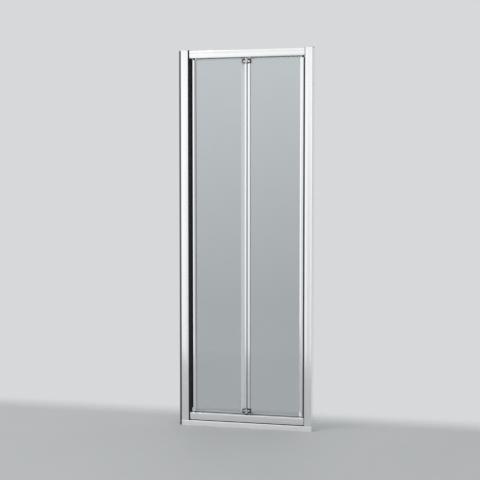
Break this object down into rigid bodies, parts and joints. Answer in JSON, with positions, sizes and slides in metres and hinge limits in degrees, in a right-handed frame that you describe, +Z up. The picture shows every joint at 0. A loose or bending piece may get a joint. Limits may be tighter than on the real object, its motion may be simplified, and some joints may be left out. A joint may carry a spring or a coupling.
{
  "type": "bifold shower door",
  "caption": "Framed folding glass door for a shower recess: hinged leaves fold inwards and run on rollers in a top and a bottom track.",
  "frame": {"origin": "bottom centre of the overall box, on the underside of the sill", "axes": "+Z up, -Y towards the room, +Y into the shower, +X from the pivot jamb to the closing jamb"},
  "size_m": [0.662, 0.06, 1.85],
  "materials": {
    "wall_aluminium": "satin anodised, darker than the frame",
    "bright_frame": "polished to a chrome look",
    "bright_stile": "polished to a chrome look",
    "bright_hinge": "polished plating",
    "steel": "bright turned",
    "black_rubber": "matt",
    "dark_rubber": "matt",
    "magnet_strip": "matt, flexible magnet in a soft sleeve",
    "grey_nylon": "moulded",
    "brass": "plain",
    "glass": "clear toughened, polished edges",
    "glazing_rubber": "matt",
    "pale_strip": "satin, pale grey",
    "clear_seal": "grey translucent, modelled opaque",
    "white_nylon": "turned",
    "black_nylon": "moulded, fine grain"
  },
  "bodies": {
    "frame": {"wall_profile_left": "wall_aluminium", "wall_profile_right": "wall_aluminium", "jamb_left": "bright_frame", "jamb_right": "bright_frame", "jamb_caps": "bright_frame", "jamb_lock_screws": "steel", "sill": "bright_frame", "sill_gasket": "black_rubber", "sill_screws": "steel", "bottom_rail": "bright_frame", "header_rail": "bright_frame", "rail_screws": "steel", "pivot_lining": "black_rubber", "closing_lining": "dark_rubber", "closing_seal": "magnet_strip", "pivot_block_top": "grey_nylon", "pivot_block_bottom": "grey_nylon", "pivot_block_screws": "steel", "thrust_washers": "brass", "track_stops": "black_rubber"},
    "pivot_panel": {"pivot_glass": "glass", "pivot_stile": "bright_stile", "pivot_hinge_stile": "bright_stile", "pivot_glazing": "glazing_rubber", "pivot_cover_strip": "pale_strip", "pivot_top_seal": "clear_seal", "pivot_drip_seal": "clear_seal", "pivot_plugs": "black_nylon", "pivot_pins": "steel", "pivot_hinge_caps": "black_nylon", "centre_seal": "clear_seal", "hinge_body_top_left": "black_nylon", "hinge_body_bottom_left": "black_nylon", "hinge_knuckles_left": "bright_hinge", "hinge_pins": "steel", "hinge_pin_caps": "black_nylon", "hinge_screws_left": "steel"},
    "leading_panel": {"leading_glass": "glass", "leading_stile": "bright_stile", "leading_hinge_stile": "bright_stile", "leading_glazing": "glazing_rubber", "leading_top_seal": "clear_seal", "leading_drip_seal": "clear_seal", "leading_plugs": "black_nylon", "roller_pins": "steel", "leading_hinge_caps": "black_nylon", "hinge_body_top_right": "black_nylon", "hinge_body_bottom_right": "black_nylon", "hinge_knuckles_right": "bright_hinge", "hinge_screws_right": "steel", "leading_magnet": "magnet_strip"},
    "guide_roller_top": {"roller_top": "white_nylon"},
    "guide_roller_bottom": {"roller_bottom": "white_nylon"}
  },
  "joints": [
    {"name": "pivot_fold", "type": "hinge", "parent": "frame", "child": "pivot_panel", "pos_m": [-0.2669, 0.015, 0.935], "axis": [0, 0, 1], "range_deg": [0, 83]},
    {"name": "centre_fold", "type": "hinge", "parent": "pivot_panel", "child": "leading_panel", "pos_m": [0.005, -0.012, 0.935], "axis": [0, 0, 1], "range_deg": [-166, 0]},
    {"name": "roller_top_spin", "type": "hinge", "parent": "leading_panel", "child": "guide_roller_top", "pos_m": [0.2769, 0.015, 1.817], "axis": [0, 0, 1], "continuous": true},
    {"name": "roller_bottom_spin", "type": "hinge", "parent": "leading_panel", "child": "guide_roller_bottom", "pos_m": [0.2769, 0.015, 0.051], "axis": [0, 0, 1], "continuous": true}
  ],
  "couplings": [
    {"joint": "centre_fold", "follows": "pivot_fold", "ratio": -2}
  ]
}
